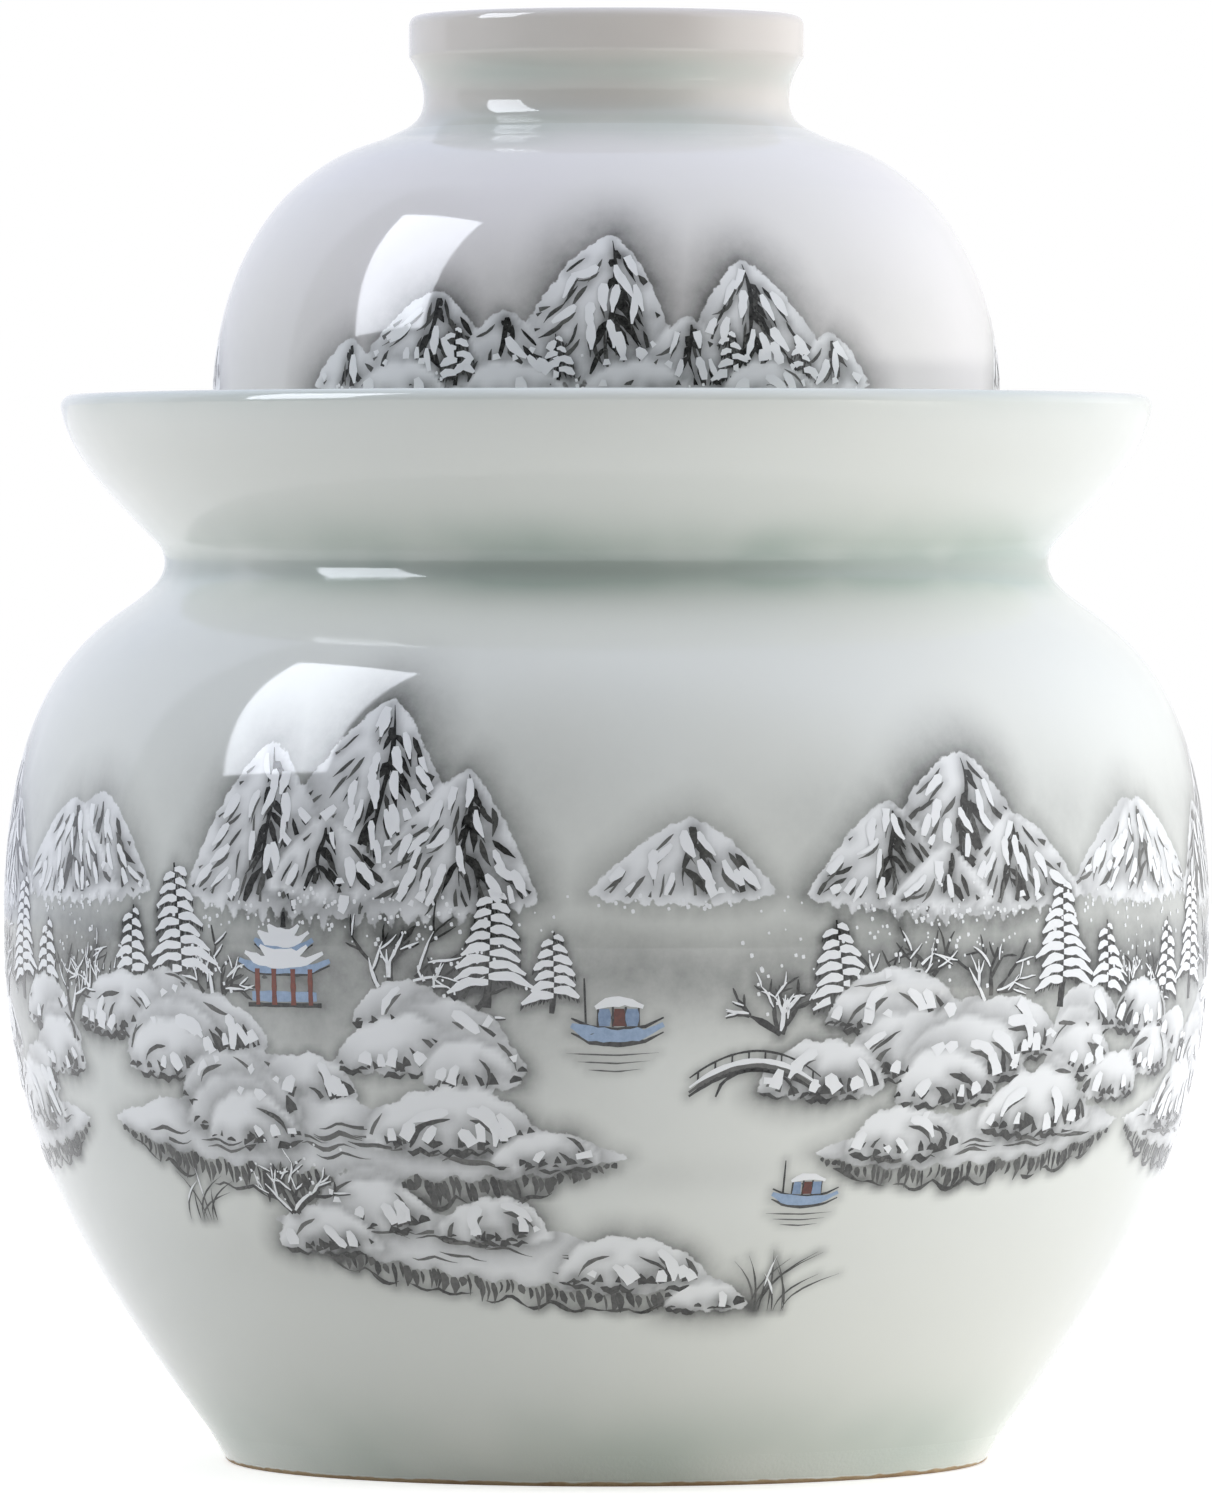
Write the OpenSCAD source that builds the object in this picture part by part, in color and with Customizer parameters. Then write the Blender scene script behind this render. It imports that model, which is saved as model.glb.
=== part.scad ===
// Water seal pickle jar: a porcelain jar with a flared water trough round its mouth,
// an outer lid whose rim stands in the trough, and an inner lid on the mouth under it.
// Every piece is turned about the Z axis. The origin is the middle of the foot, on the table.

/* [Jar] */
// Diameter of the foot on the table
foot_d = 146; // [140:1:150]
// Diameter of the belly at its widest
belly_d = 232; // [226:1:240]
// Height of the widest place of the belly
belly_z = 102; // [98:1:106]
// Diameter of the crease between the shoulder and the trough
crease_d = 170; // [168:1:174]
// Height of the crease between the shoulder and the trough
crease_z = 173; // [171:1:175]
// Thickness of the jar's wall
jar_wall = 6; // [5:0.5:7]

/* [Water trough] */
// Diameter of the trough's rim
rim_d = 210; // [206:1:214]
// Height of the trough's rim
rim_z = 205; // [203:1:208]
// Thickness of the trough's flared wall
flare_wall = 4.5; // [4:0.5:5]
// Height of the trough's floor above the crease
trough_floor = 4; // [3:0.5:5]

/* [Mouth] */
// Diameter of the mouth inside its upright wall
mouth_d = 120; // [112:1:122]
// Height of the mouth's lip
mouth_z = 204; // [201:1:206]
// Thickness of the mouth's upright wall
mouth_wall = 6; // [5:0.5:6.5]

/* [Outer lid] */
// Diameter of the outer lid's rim
lid_d = 152; // [150:1:154]
// Thickness of the outer lid's wall
lid_wall = 5; // [4:0.5:5]
// Height of the flat top of the dome, which the grip ring stands on
dome_z = 256; // [254:1:258]
// Diameter of the grip ring
ring_d = 76; // [74:1:80]
// Height of the top of the grip ring
top_z = 278; // [276:1:284]

/* [Inner lid] */
// Gap round the spigot of the inner lid in the mouth
spigot_gap = 0.8; // [0.5:0.1:1.2]
// Diameter of the inner lid's knob
knob_d = 24; // [20:1:28]

/* [Hidden] */

$fn = 96;
glaze = [0.87, 0.90, 0.87];
biscuit = [0.80, 0.72, 0.60];

// Straight pieces in each curve, and in each rounded edge
steps = 10;
edge_steps = 4;

// The foot: its height, the width of its ring and the height of its sloping outside
foot_h = 6;
foot_w = 10;
foot_flare = 3.5;
foot_edge = 1;
floor_h = 7;
floor_z = foot_h + floor_h;

// Where the shoulder meets the fillet that runs up into the crease
shoulder = [belly_d / 2 - 22, crease_z - 10];
ceiling_z = crease_z - jar_wall;

// The trough: its floor, and where its flared wall stands on the upper body
trough_z = crease_z + trough_floor;
flare_foot = [crease_d / 2 + 2, trough_z];
mouth_r = mouth_d / 2;
neck_r = mouth_r + mouth_wall;
mouth_edge = 2;

// The outer lid: the top of its upright wall, its shoulder, and where the grip ring's fillet begins
lid_r = lid_d / 2;
lid_edge = 1.2;
wall_top = [lid_r - 0.3, trough_z + 30];
lid_shoulder = [lid_r - 14.5, dome_z - 12.5];
dome_edge = [ring_d / 2 + 5, dome_z - 1.9];
ring_foot = [ring_d / 2 + 1, dome_z];
lid_ceiling_z = dome_z - 6.5;

// The grip ring: the radius of its waist and of its hollow, and where its collar begins
waist_r = ring_d / 2 - 2.8;
hollow_r = waist_r - 3.7;
waist_z = dome_z + 6;
collar_z = dome_z + 13;
ring_edge = 2;

// The inner lid: its rim, its spigot and its slightly domed top
plate_r = neck_r - 2;
plate_h = 4;
plate_crown = 2;
plate_edge = 1.5;
spigot_r = mouth_r - spigot_gap;
spigot_w = 5;
spigot_h = 5.5;
knob_z = mouth_z + plate_h + plate_crown;
knob_h = 14;

// A point that lies the fractions f of the way from a to b, across and up
function part_way(a, b, f) = [a.x + f.x * (b.x - a.x), a.y + f.y * (b.y - a.y)];

// Points of a smooth curve from a to b, with its two handles at the fractions f and g of the way.
// inset moves the curve to its left, which is towards the axis where it climbs.
function curve(a, f, g, b, inset = 0) =
    let (p = part_way(a, b, f), q = part_way(a, b, g))
    [for (i = [0:steps])
        let (
            t = i / steps,
            s = 1 - t,
            at = s * s * s * a + 3 * s * s * t * p + 3 * s * t * t * q + t * t * t * b,
            d = s * s * (p - a) + 2 * s * t * (q - p) + t * t * (b - q)
        )
        at + inset * [-d.y, d.x] / norm(d)];

// Points of an arc about c, from one angle to another
function arc(c, r, from, to) =
    [for (i = [0:edge_steps]) let (a = from + (to - from) * i / edge_steps) c + r * [cos(a), sin(a)]];

function flip(points) = [for (i = [len(points) - 1:-1:0]) points[i]];

function above(points, z) = [for (p = points) if (p.y > z) p];

// The points without the first, which is the last point of the curve before them
function after(points) = [for (i = [1:len(points) - 1]) points[i]];

// The outlines that the pieces share, for the surface or for a wall's inner side
function belly_curve(inset = 0) =
    curve([foot_d / 2 + foot_flare, foot_h], [0.52, 0.29], [1, 0.56], [belly_d / 2, belly_z], inset);

function shoulder_curve(inset = 0) =
    curve([belly_d / 2, belly_z], [0, 0.56], [0.34, 0.83], shoulder, inset);

function crease_curve() = curve(shoulder, [0.58, 0.37], [1, 0.6], [crease_d / 2, crease_z]);

function undercut_curve() = curve([crease_d / 2, crease_z], [0, 0.45], [0.5, 0.75], flare_foot);

function flare_curve(inset = 0) =
    curve(flare_foot, [0.5, 0.35], [0.92, 0.65], [rim_d / 2, rim_z - flare_wall / 2], inset);

function lid_wall_curve(inset = 0) =
    curve(wall_top, [0.07, 0.44], [0.44, 0.77], lid_shoulder, inset);

function lid_shoulder_curve() = curve(lid_shoulder, [0.38, 0.61], [0.62, 0.8], dome_edge);

module turned(points) {
    rotate_extrude() polygon(points);
}

// The unglazed ring that the jar stands on, with a recess inside it
module foot_ring() {
    inner_r = foot_d / 2 - foot_w;
    color(biscuit) turned([
        [inner_r, foot_h],
        [inner_r, foot_edge],
        [inner_r + foot_edge, 0],
        [foot_d / 2 - foot_edge, 0],
        [foot_d / 2 + foot_edge / 2, foot_edge],
        [foot_d / 2 + foot_flare, foot_h]
    ]);
}

// The lower half of the jar, up to its widest place, with the floor
module lower_body() {
    inner_floor_r = foot_d / 2 - jar_wall;
    color(glaze) turned(concat(
        [[0, foot_h]],
        belly_curve(),
        above(flip(belly_curve(jar_wall)), floor_z + 4),
        [[inner_floor_r, floor_z], [0, floor_z]]
    ));
}

// The upper half of the jar, whose flat top is the trough's floor and carries the mouth
module upper_body() {
    inner = shoulder_curve(jar_wall);
    ceiling = curve(inner[steps], [0.2, 0.55], [0.7, 1], [mouth_r, ceiling_z]);
    color(glaze) turned(concat(
        shoulder_curve(),
        after(crease_curve()),
        after(undercut_curve()),
        [[mouth_r, trough_z]],
        flip(ceiling),
        after(flip(inner))
    ));
}

// The flared wall that holds the sealing water
module trough_wall() {
    lip = [rim_d / 2 - flare_wall / 2, rim_z - flare_wall / 2];
    inner_floor_r = flare_foot.x - flare_wall - 2;
    color(glaze) turned(concat(
        flare_curve(),
        after(arc(lip, flare_wall / 2, 0, 180)),
        above(after(flip(flare_curve(flare_wall))), trough_z + 4),
        [[inner_floor_r, trough_z]]
    ));
}

// The upright wall of the mouth, inside the trough
module mouth_neck() {
    lip_z = mouth_z - mouth_edge;
    color(glaze) turned(concat(
        [[mouth_r, trough_z], [neck_r, trough_z]],
        arc([neck_r - mouth_edge, lip_z], mouth_edge, 0, 90),
        arc([mouth_r + mouth_edge, lip_z], mouth_edge, 90, 180)
    ));
}

// The bell of the outer lid, whose rim stands on the trough's floor
module outer_lid_dome() {
    inner_r = lid_r - lid_wall;
    rim_middle_z = trough_z + lid_edge;
    inner = lid_wall_curve(lid_wall);
    ceiling = curve(inner[steps], [0.16, 0.6], [0.5, 1], [ring_d / 3, lid_ceiling_z]);
    color(glaze) turned(concat(
        arc([inner_r + lid_edge, rim_middle_z], lid_edge, 180, 270),
        arc([lid_r - lid_edge, rim_middle_z], lid_edge, 270, 360),
        lid_wall_curve(),
        after(lid_shoulder_curve()),
        [ring_foot, [0, dome_z], [0, lid_ceiling_z]],
        flip(ceiling),
        after(flip(inner))
    ));
}

// The open ring on the dome that the outer lid is lifted by
module outer_lid_grip_ring() {
    color(glaze) turned(concat(
        [[hollow_r, dome_z]],
        curve(ring_foot, [0.65, 0.2], [1, 0.5], [waist_r, waist_z]),
        [[waist_r, waist_z + 1.5], [ring_d / 2, collar_z]],
        arc([ring_d / 2 - ring_edge, top_z - ring_edge], ring_edge, 0, 90),
        arc([hollow_r + ring_edge, top_z - ring_edge], ring_edge, 90, 180)
    ));
}

// The disc that closes the mouth, with a spigot that keeps it in place
module inner_lid_plate() {
    spigot_z = mouth_z - spigot_h;
    rim_top_z = mouth_z + plate_h;
    color(glaze) turned(concat(
        [
            [0, mouth_z],
            [spigot_r - spigot_w, mouth_z],
            [spigot_r - spigot_w + 0.5, spigot_z],
            [spigot_r - 0.5, spigot_z],
            [spigot_r, mouth_z]
        ],
        arc([plate_r - plate_edge, mouth_z + plate_edge], plate_edge, 270, 360),
        arc([plate_r - plate_edge, rim_top_z - plate_edge], plate_edge, 0, 90),
        [[knob_d, knob_z], [0, knob_z]]
    ));
}

// The button that the inner lid is lifted by
module inner_lid_knob() {
    stem = [knob_d / 3, knob_z];
    widest = [knob_d / 2, knob_z + knob_h * 0.6];
    color(glaze) turned(concat(
        [[0, knob_z]],
        curve(stem, [-0.7, 0.4], [1, 0.4], widest),
        after(curve(widest, [0, 0.6], [0.4, 1], [0, knob_z + knob_h]))
    ));
}

foot_ring();
lower_body();
upper_body();
trough_wall();
mouth_neck();
outer_lid_dome();
outer_lid_grip_ring();
inner_lid_plate();
inner_lid_knob();
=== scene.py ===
"""The looks of a water seal pickle jar: turned porcelain under a glossy glaze, with a generic ink-wash print.

Everything is turned about the Z axis. Lengths are in millimetres here, and become metres in the meshes.
An angle u runs round the jar from its front, -Y, towards +X, and v is the way up along a surface.
"""

import math
from functools import partial

import bpy
import numpy as np
from mathutils import Matrix, Vector

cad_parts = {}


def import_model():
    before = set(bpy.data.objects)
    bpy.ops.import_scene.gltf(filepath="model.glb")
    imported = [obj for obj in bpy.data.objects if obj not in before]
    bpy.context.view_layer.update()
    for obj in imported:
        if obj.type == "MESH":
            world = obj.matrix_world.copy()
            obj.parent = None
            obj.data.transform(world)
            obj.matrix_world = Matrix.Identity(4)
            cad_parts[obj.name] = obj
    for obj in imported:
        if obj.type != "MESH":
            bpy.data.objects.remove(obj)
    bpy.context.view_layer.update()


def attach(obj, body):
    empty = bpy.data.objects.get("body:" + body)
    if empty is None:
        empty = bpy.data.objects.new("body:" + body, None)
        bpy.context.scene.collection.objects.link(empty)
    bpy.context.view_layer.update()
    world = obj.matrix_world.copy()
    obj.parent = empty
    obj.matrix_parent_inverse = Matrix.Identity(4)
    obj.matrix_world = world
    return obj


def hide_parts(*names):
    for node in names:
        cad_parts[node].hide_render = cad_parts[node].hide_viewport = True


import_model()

MM = 0.001

# The driving sizes, the same as the CAD model's
FOOT_R = 73.0
FOOT_H = 6.0
FOOT_FLARE = 3.5
FOOT_W = 10.0
FLOOR_Z = 13.0
BELLY_R = 116.0
BELLY_Z = 102.0
CREASE_R = 85.0
CREASE_Z = 173.0
JAR_WALL = 6.0
TROUGH_Z = 177.0
RIM_R = 105.0
RIM_Z = 205.0
FLARE_WALL = 4.5
MOUTH_R = 60.0
MOUTH_WALL = 6.0
MOUTH_Z = 204.0
MOUTH_EDGE = 2.0
LID_R = 76.0
LID_WALL = 5.0
LID_EDGE = 1.2
DOME_Z = 256.0
RING_R = 38.0
RING_EDGE = 2.0
TOP_Z = 278.0
PLATE_R = 64.0
PLATE_H = 4.0
PLATE_EDGE = 1.5
SPIGOT_R = 59.2
SPIGOT_W = 5.0
SPIGOT_H = 5.5
KNOB_R = 12.0
KNOB_H = 14.0

SHOULDER_Z = CREASE_Z - 10
CEILING_Z = CREASE_Z - JAR_WALL
RING_FOOT = (RING_R + 1, DOME_Z)
LID_CEILING_Z = DOME_Z - 6.5
WAIST_R = RING_R - 2.8
HOLLOW_R = WAIST_R - 3.7
KNOB_Z = MOUTH_Z + 6

# The shared outlines: a point, two handles at fractions of the way across and up, and the point where it ends
BELLY = ((FOOT_R + FOOT_FLARE, FOOT_H), (0.52, 0.29), (1, 0.56), (BELLY_R, BELLY_Z))
SHOULDER = (BELLY[3], (0, 0.56), (0.34, 0.83), (BELLY_R - 22, SHOULDER_Z))
CREASE = (SHOULDER[3], (0.58, 0.37), (1, 0.6), (CREASE_R, CREASE_Z))
UNDERCUT = (CREASE[3], (0, 0.45), (0.5, 0.75), (CREASE_R + 2, TROUGH_Z))
FLARE = (UNDERCUT[3], (0.5, 0.35), (0.92, 0.65), (RIM_R, RIM_Z - FLARE_WALL / 2))
LID_SIDE = ((LID_R - 0.3, TROUGH_Z + 30), (0.07, 0.44), (0.44, 0.77), (LID_R - 14.5, DOME_Z - 12.5))
LID_SHOULDER = (LID_SIDE[3], (0.38, 0.61), (0.62, 0.8), (RING_R + 5, DOME_Z - 1.9))

# How far apart the rows of a mesh lie, and how many columns go round it
PRINT_STEP = 0.9
PLAIN_STEP = 2.2
INNER_STEP = 5.0
FINE = 768
PLAIN = 384
COARSE = 192

# Less than any wall's thickness
THIN = 2.0
# No divisor is nearer to zero than this
LEAST = 1e-9
# As far from an edge of the snow as the painting can tell
FAR = 3.0
# Shorter than this, two points are the same, or a radius is the axis
TINY = 1e-6
TURN = 2 * math.pi


def curve(a, f, g, b, inset=0.0):
    """Points of a smooth curve from a to b, with handles at the fractions f and g, moved to its left."""
    a, f, g, b = (np.array(x, float) for x in (a, f, g, b))
    p = a + f * (b - a)
    q = a + g * (b - a)
    t = np.linspace(0, 1, 61)[:, None]
    s = 1 - t
    at = s**3 * a + 3 * s * s * t * p + 3 * s * t * t * q + t**3 * b
    d = s * s * (p - a) + 2 * s * t * (q - p) + t * t * (b - q)
    left = np.stack([-d[:, 1], d[:, 0]], 1) / np.linalg.norm(d, axis=1)[:, None]
    return at + inset * left


def arc(c, r, start, end):
    """Points of an arc about c, from one angle to another, in degrees."""
    a = np.radians(np.linspace(start, end, 13))
    return np.array(c) + r * np.stack([np.cos(a), np.sin(a)], 1)


def line(*points):
    return np.array(points, float)


def join(*parts):
    """One run of points from several that meet end to end."""
    points = np.concatenate(parts)
    gaps = np.linalg.norm(np.diff(points, axis=0), axis=1)
    return points[np.concatenate([[True], gaps > TINY])]


def lengths(points):
    """The way along a run of points, at each of them."""
    return np.concatenate([[0], np.cumsum(np.linalg.norm(np.diff(points, axis=0), axis=1))])


def resample(points, step):
    """The run at even steps of about the given length."""
    way = lengths(points)
    even = np.linspace(0, way[-1], max(2, round(way[-1] / step) + 1))
    return np.stack([np.interp(even, way, points[:, i]) for i in (0, 1)], 1)


def outward(points):
    """The unit normals on the right of a run: outside, where an outline goes round against the clock."""
    d = np.gradient(points, axis=0, edge_order=2 if len(points) > 2 else 1)
    d /= np.linalg.norm(d, axis=1)[:, None]
    return np.stack([d[:, 1], -d[:, 0]], 1)


def above(points, z):
    return points[points[:, 1] > z]


def linked(name, data):
    """A new object of the scene for a mesh, a lamp or a camera."""
    made = bpy.data.objects.new(name, data)
    bpy.context.scene.collection.objects.link(made)
    return made


class Turned:
    """A closed piece turned about the Z axis from runs of (radius, height), with sharp corners between them.

    A run is smooth and begins where the last one ended. It has its own step, and may have its own columns.
    """

    def __init__(self, name, columns, start):
        self.name = name
        self.columns = columns
        self.end = start
        self.rings = []
        self.strips = []

    def run(self, points, step, columns=None, joined=True):
        """Adds one run, from where the last one ended or, if it isn't joined, from elsewhere on the axis."""
        points = resample(points, step)
        normals = outward(points)
        for i, point in enumerate(points):
            if i == 0 and self.rings and joined:
                continue
            self.rings.append((point, 1 if point[0] < TINY else columns or self.columns))
            if i:
                self.strips.append((len(self.rings) - 2, len(self.rings) - 1, normals[i - 1], normals[i]))
        self.end = points[-1]

    def to(self, r, z, step):
        """Adds a straight run to a point."""
        self.run(line(self.end, (r, z)), step)

    def bend(self, f, g, end, step):
        """Adds a curved run to a point."""
        self.run(curve(self.end, f, g, end), step)

    def turn(self, r, angle, step, columns=None, sweep=90):
        """Adds a round edge, an arc that begins at an angle about its centre."""
        centre = self.end - arc((0, 0), r, angle, angle)[0]
        self.run(arc(centre, r, angle, angle + sweep), step, columns)

    def close(self):
        """Joins the last ring to the first, unless both are on the axis."""
        (first, _), (last, _) = self.rings[0], self.rings[-1]
        if max(first[0], last[0]) > TINY and np.linalg.norm(first - last) < TINY:
            lower, _, n0, n1 = self.strips.pop()
            self.rings.pop()
            self.strips.append((lower, 0, n0, n1))

    def build(self, body, replaced, slot, material, fields):
        """Makes the mesh and its object, and lets it ride on the body in place of the CAD node."""
        self.close()
        starts = np.concatenate([[0], np.cumsum([n for _, n in self.rings])])
        at, angles = [], []
        for (r, z), n in self.rings:
            u = np.arange(n) * TURN / n - math.pi
            at.append(np.stack([r * np.sin(u), -r * np.cos(u), np.full(n, z)], 1))
            angles.append(u)
        at = np.concatenate(at)
        u = np.concatenate(angles)
        faces, corners = [], []
        for a, b, normal_a, normal_b in self.strips:
            na, nb = self.rings[a][1], self.rings[b][1]
            coarse = min(na, nb) if min(na, nb) > 1 else max(na, nb)
            for j in range(coarse):
                low = self.side(starts[a], na, coarse, j)
                high = self.side(starts[b], nb, coarse, j)[::-1]
                faces.append(low + high)
                corners += [(i, *normal_a) for i in low] + [(i, *normal_b) for i in high]
        mesh = bpy.data.meshes.new(self.name)
        mesh.from_pydata((at * MM).tolist(), [], faces)
        corner, across, up = np.array(corners).T
        turn = u[corner.astype(int)]
        mesh.shade_smooth()
        normals = np.stack([across * np.sin(turn), -across * np.cos(turn), up], 1)
        mesh.normals_split_custom_set(normals.tolist())
        add_field(mesh, "height", at[:, 2])
        for key, values in fields(u, at[:, 2], np.linalg.norm(at[:, :2], axis=1)).items():
            add_field(mesh, key, values)
        mesh.materials.append(material)
        piece = linked(self.name, mesh)
        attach(piece, body)
        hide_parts(replaced)

    @staticmethod
    def side(start, n, coarse, j):
        """The vertices of a ring that lie along segment j of a ring with as many columns or fewer."""
        if n == 1:
            return [int(start)]
        k = n // coarse
        return [int(start + (j * k + i) % n) for i in range(k + 1)]


def add_field(mesh, name, values):
    """Stores one number or one vector on every vertex."""
    values = np.asarray(values, np.float32)
    kind, key = ("FLOAT", "value") if values.ndim == 1 else ("FLOAT_VECTOR", "vector")
    mesh.attributes.new(name, kind, "POINT").data.foreach_set(key, values.ravel())


class Nodes:
    """The node tree of a material or a world, with short calls to add to it."""

    def __init__(self, owner, shader="Principled BSDF"):
        owner.use_nodes = True
        self.owner = owner
        self.tree = owner.node_tree
        self.shader = self.tree.nodes[shader]

    def put(self, node, socket, value):
        if isinstance(value, bpy.types.NodeSocket):
            self.tree.links.new(value, node.inputs[socket])
        else:
            node.inputs[socket].default_value = value

    def shade(self, **inputs):
        """Sets or links sockets of the shader."""
        for key, value in inputs.items():
            self.put(self.shader, key.replace("_", " "), value)

    def node(self, kind, inputs, **settings):
        made = self.tree.nodes.new("ShaderNode" + kind)
        for key, value in settings.items():
            setattr(made, key, value)
        for key, value in inputs.items():
            self.put(made, key, value)
        return made.outputs

    def math(self, operation, a, b, c=0.0, clamp=False):
        return self.node("Math", {0: a, 1: b, 2: c}, operation=operation, use_clamp=clamp)[0]

    def between(self, factor, a, b):
        """The number that lies the factor of the way from a to b."""
        return self.node("Mix", {0: factor, 2: a, 3: b})[0]

    def mix(self, factor, a, b):
        return self.node("Mix", {0: factor, 6: a, 7: b}, data_type="RGBA")[2]

    def step(self, value, low, high):
        """0 below low and 1 above high, with a soft step between."""
        return self.node("MapRange", {0: value, 1: low, 2: high}, interpolation_type="SMOOTHSTEP")[0]

    def noise(self, scale, detail=2.0, roughness=0.5):
        place = self.node("TexCoord", {})["Object"]
        inputs = {"Vector": place, "Scale": scale, "Detail": detail, "Roughness": roughness}
        return self.node("TexNoise", inputs)[0]

    def field(self, name, output="Fac"):
        return self.node("Attribute", {}, attribute_name=name)[output]

    def bump(self, height, distance):
        self.shade(Normal=self.node("Bump", {"Height": height, "Distance": distance})[0])


def colour(red, green, blue):
    """A linear colour from the 0 to 255 values of a screen colour."""
    scaled = [x / 255 for x in (red, green, blue)]
    return (*[x / 12.92 if x < 0.04045 else ((x + 0.055) / 1.055) ** 2.4 for x in scaled], 1.0)


GLAZE = colour(238, 240, 232)
GLAZE_LID = colour(241, 237, 233)
GLAZE_WARM = colour(240, 240, 229)
GLAZE_POOL = colour(192, 205, 194)
# Painted shade: the grey the glaze turns to where its field is deepest, which happens only in the jar's
# crease under the collar
GLAZE_DEEP = colour(166, 170, 165)
# Painted reflection: the grip ring's glaze is darker and warmer, standing in for the warm dark surroundings
# it mirrors
GLAZE_RING = colour(224, 216, 207)
SNOW = colour(250, 251, 249)
WASH = colour(88, 89, 86)
INK = colour(30, 30, 29)
INK_PALE = colour(120, 120, 115)
BLUE = colour(164, 187, 212)
BLUE_DARK = colour(84, 110, 146)
RUST = colour(134, 68, 52)
BISCUIT = colour(196, 172, 138)
BISCUIT_DARK = colour(166, 136, 102)
WHITE = (1.0, 1.0, 1.0, 1.0)
FLOOR = (0.81, 0.785, 0.715, 1.0)

GLAZE_IOR = 1.52
GLAZE_ROUGH = 0.035
CLAY_ROUGH = 0.8
# How deep the waves of the glaze and the grains of the clay are, in metres
GLAZE_WAVE = 0.00012
CLAY_GRAIN = 0.00006

# The strength of the sky where it lights the jar, on the left, on the right and more above, where white is 1
SKY_LEFT = 0.45
SKY_RIGHT = 1.9
SKY_TOP = 0.3
# The same where the glaze mirrors it: behind the jar, a screen on the left, a bright wall on the right
MIRRORED = 1.0
SCREEN = 0.4
WALL = 1.4
# How much darker it is towards the camera, and the tint of the light from above and from the left
FRONT = 1.0
TINT = (0.88, 0.935, 1.13, 1.0)
# How brightly the floor glows where it is seen, so that it shows white
FLOOR_GLOW = 0.55


def glazed(nodes, base):
    """Gives a base colour the gloss of the glaze, which waves slightly, and bare clay where "bare" rises."""
    bare = nodes.math("MULTIPLY_ADD", nodes.noise(240.0, 3.0), 0.5, nodes.field("bare"))
    bare = nodes.step(bare, 0.7, 0.8)
    rough = nodes.math("MULTIPLY_ADD", nodes.noise(90.0, 3.0), 0.05, GLAZE_ROUGH)
    nodes.shade(Base_Color=nodes.mix(bare, base, biscuit_colour(nodes)))
    nodes.shade(Roughness=nodes.between(bare, rough, CLAY_ROUGH), IOR=GLAZE_IOR)
    nodes.bump(nodes.noise(34.0, 1.0), GLAZE_WAVE)
    return nodes.owner


def glaze_colour(nodes, clear):
    """Clear glaze over white clay, cloudy, and greener where it pools, to a painted shade of grey where the
    field is deepest, in the jar's crease.
    """
    cloud = nodes.step(nodes.noise(14.0, 3.0), 0.35, 0.7)
    base = nodes.mix(nodes.math("MULTIPLY", cloud, 0.4), clear, GLAZE_WARM)
    depth = nodes.field("pool")
    pooled = nodes.math("MULTIPLY", depth, nodes.step(nodes.noise(26.0), 0.1, 0.75), clamp=True)
    return nodes.mix(nodes.step(depth, 0.9, 2.6), nodes.mix(pooled, base, GLAZE_POOL), GLAZE_DEEP)


def biscuit_colour(nodes):
    """Unglazed clay, fired to tan and browner in blotches."""
    return nodes.mix(nodes.step(nodes.noise(120.0, 4.0, 0.7), 0.35, 0.75), BISCUIT, BISCUIT_DARK)


def plain_glaze(name, clear):
    nodes = Nodes(bpy.data.materials.new(name))
    return glazed(nodes, glaze_colour(nodes, clear))


def printed_glaze(name, clear):
    """Glaze over the painting's soft parts: snow inside its outlines, and wash inside and outside them."""
    nodes = Nodes(bpy.data.materials.new(name))
    gap, outer, inner = nodes.node("SeparateXYZ", {"Vector": nodes.field("print", "Vector")})
    ragged = nodes.math("SUBTRACT", nodes.noise(700.0, 3.0), 0.5)
    edge = nodes.math("MULTIPLY_ADD", ragged, 1.6, gap)
    snow = nodes.math("SUBTRACT", 1.0, nodes.step(edge, -0.16, 0.16))
    grain = nodes.math("MULTIPLY_ADD", nodes.noise(420.0, 4.0, 0.7), 0.5, nodes.noise(60.0, 3.0))
    grain = nodes.math("ADD", grain, 0.25)
    wash = nodes.math("MULTIPLY", nodes.between(snow, outer, inner), grain, clamp=True)
    base = nodes.mix(nodes.math("MULTIPLY", snow, 0.9), glaze_colour(nodes, clear), SNOW)
    return glazed(nodes, nodes.mix(wash, base, WASH))


def brushed(name, dark, pale):
    """An ink under the glaze, uneven as a dry brush leaves it."""
    nodes = Nodes(bpy.data.materials.new(name))
    dry = nodes.math("MULTIPLY_ADD", nodes.noise(900.0, 3.0, 0.7), 0.9, -0.3)
    return glazed(nodes, nodes.mix(nodes.math("ADD", nodes.field("tone"), dry, clamp=True), dark, pale))


def bare_porcelain():
    """The unglazed foot ring, with glaze down to near its lowest edge."""
    nodes = Nodes(bpy.data.materials.new("bare_porcelain"))
    ragged = nodes.math("MULTIPLY_ADD", nodes.noise(200.0, 3.0), 1.2, nodes.field("height"))
    share = nodes.math("MULTIPLY", nodes.step(ragged, 1.3, 1.6), nodes.field("outside"))
    nodes.shade(Base_Color=nodes.mix(share, biscuit_colour(nodes), glaze_colour(nodes, GLAZE)))
    nodes.shade(Roughness=nodes.math("SUBTRACT", CLAY_ROUGH, nodes.math("MULTIPLY", share, 0.74)))
    nodes.bump(nodes.noise(1400.0, 3.0), CLAY_GRAIN)
    return nodes.owner


def near(value, place, width):
    """1 at a place, falling off softly within a width."""
    return np.exp(-(((value - place) / width) ** 2))


def jar_pool(u, z, r):
    """The glaze is thicker, and greener, above the foot, in the crease and under the rim. The crease also
    gets a painted shade: its field runs deep enough to grey the glaze under the collar.
    """
    # Painted shade: the 1.4 weight at the crease greys the glaze under the collar
    crease = 1.4 * near(z, CREASE_Z - 2, 4) + 0.7 * near(z, CREASE_Z + 4, 5)
    pool = 0.7 * near(z, FOOT_H, 10) + crease + 0.4 * near(z, RIM_Z, 4)
    return {"pool": pool, "bare": np.zeros_like(z)}


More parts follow.
